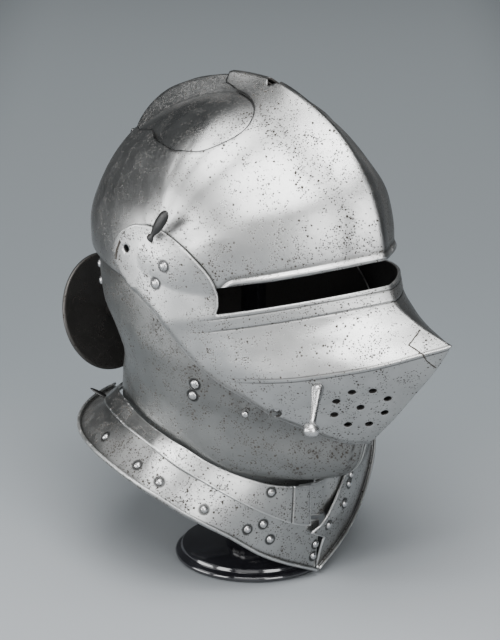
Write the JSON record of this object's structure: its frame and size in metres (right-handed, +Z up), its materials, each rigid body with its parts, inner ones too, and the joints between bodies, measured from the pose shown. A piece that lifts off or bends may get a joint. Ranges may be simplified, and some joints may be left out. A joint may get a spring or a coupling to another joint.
{
  "type": "armet on a display stand",
  "caption": "Closed steel armet with a pointed visor that lifts, leaf-headed hinge pins, a gorget of lames and a nape rondel, on a round stand.",
  "frame": {"origin": "on the floor under the stand's post, at the middle of the round foot", "axes": "+Z up, -Y out of the face, -X to the wearer's right"},
  "size_m": [0.2158, 0.3124, 0.3263],
  "materials": {
    "polished_steel": "polished and finely pitted",
    "dark_steel": "dark, dull",
    "stand_black": "glossy black"
  },
  "bodies": {
    "helmet": {"skull": "polished_steel", "reinforcing_plate": "polished_steel", "pivot_right": "polished_steel", "pivot_left": "polished_steel", "cheek_plate_right": "polished_steel", "cheek_plate_left": "polished_steel", "nape_plate": "polished_steel", "gorget_upper_right": "polished_steel", "gorget_upper_left": "polished_steel", "gorget_lower_right": "polished_steel", "gorget_lower_left": "polished_steel", "rondel": "dark_steel", "rondel_stem": "dark_steel", "cheek_rivet_right_1": "polished_steel", "cheek_rivet_left_1": "polished_steel", "cheek_rivet_right_2": "polished_steel", "cheek_rivet_left_2": "polished_steel", "cheek_rivet_right_3": "polished_steel", "cheek_rivet_left_3": "polished_steel", "cheek_rivet_right_4": "polished_steel", "cheek_rivet_left_4": "polished_steel", "gorget_rivet_right_1": "polished_steel", "gorget_rivet_right_2": "polished_steel", "gorget_rivet_right_3": "polished_steel", "gorget_rivet_right_4": "polished_steel", "gorget_rivet_right_5": "polished_steel", "gorget_rivet_right_6": "polished_steel", "gorget_rivet_right_7": "polished_steel", "gorget_rivet_right_8": "polished_steel", "gorget_rivet_right_9": "polished_steel", "gorget_rivet_left_1": "polished_steel", "gorget_rivet_left_2": "polished_steel", "gorget_rivet_left_3": "polished_steel", "gorget_rivet_left_4": "polished_steel", "gorget_rivet_left_5": "polished_steel", "gorget_rivet_left_6": "polished_steel", "gorget_rivet_left_7": "polished_steel", "gorget_rivet_left_8": "polished_steel", "gorget_rivet_top": "polished_steel", "catch_stud": "polished_steel", "cheek_stud": "polished_steel", "stand_base": "stand_black", "stand_post": "stand_black"},
    "visor": {"visor": "polished_steel", "lifting_peg": "polished_steel", "hinge_pin_right": "polished_steel", "hinge_pin_left": "polished_steel", "arm_rivet_right_1": "polished_steel", "arm_rivet_left_1": "polished_steel", "arm_rivet_right_2": "polished_steel", "arm_rivet_left_2": "polished_steel"}
  },
  "joints": [
    {"name": "visor_lift", "type": "hinge", "parent": "helmet", "child": "visor", "pos_m": [0, 0.0231, 0.2272], "axis": [-1, 0, 0], "range_deg": [0, 55]}
  ]
}
